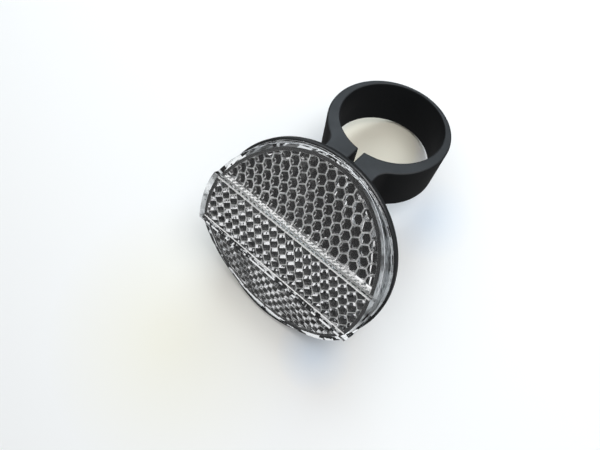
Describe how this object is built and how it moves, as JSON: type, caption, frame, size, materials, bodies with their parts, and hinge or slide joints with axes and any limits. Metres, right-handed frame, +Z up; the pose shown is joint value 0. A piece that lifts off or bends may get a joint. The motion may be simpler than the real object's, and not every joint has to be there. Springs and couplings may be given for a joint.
{
  "type": "front reflector",
  "caption": "Round front reflector with a clear prismatic lens in a black dish, swivelling on a split clamp ring that grips a handlebar.",
  "frame": {"origin": "centre of the clamp ring's bore", "axes": "+X along the bore and the bar it grips, -Y out along the ears to the reflector, +Z up"},
  "size_m": [0.056, 0.0729, 0.0624],
  "materials": {
    "black_plastic": "matte, lightly textured",
    "clear_lens": "clear and glossy, prisms on the rear",
    "plated_steel": "zinc plated"
  },
  "bodies": {
    "clamp": {"clamp_bracket": "black_plastic", "clamp_screw": "plated_steel", "clamp_nut": "plated_steel"},
    "head": {"reflector_housing": "black_plastic", "reflector_lens": "clear_lens"}
  },
  "joints": [
    {"name": "head_swivel", "type": "hinge", "parent": "clamp", "child": "head", "pos_m": [-0.0021, -0.0234, 0], "axis": [0, 0, 1], "range_deg": [-57.5, 10]}
  ]
}
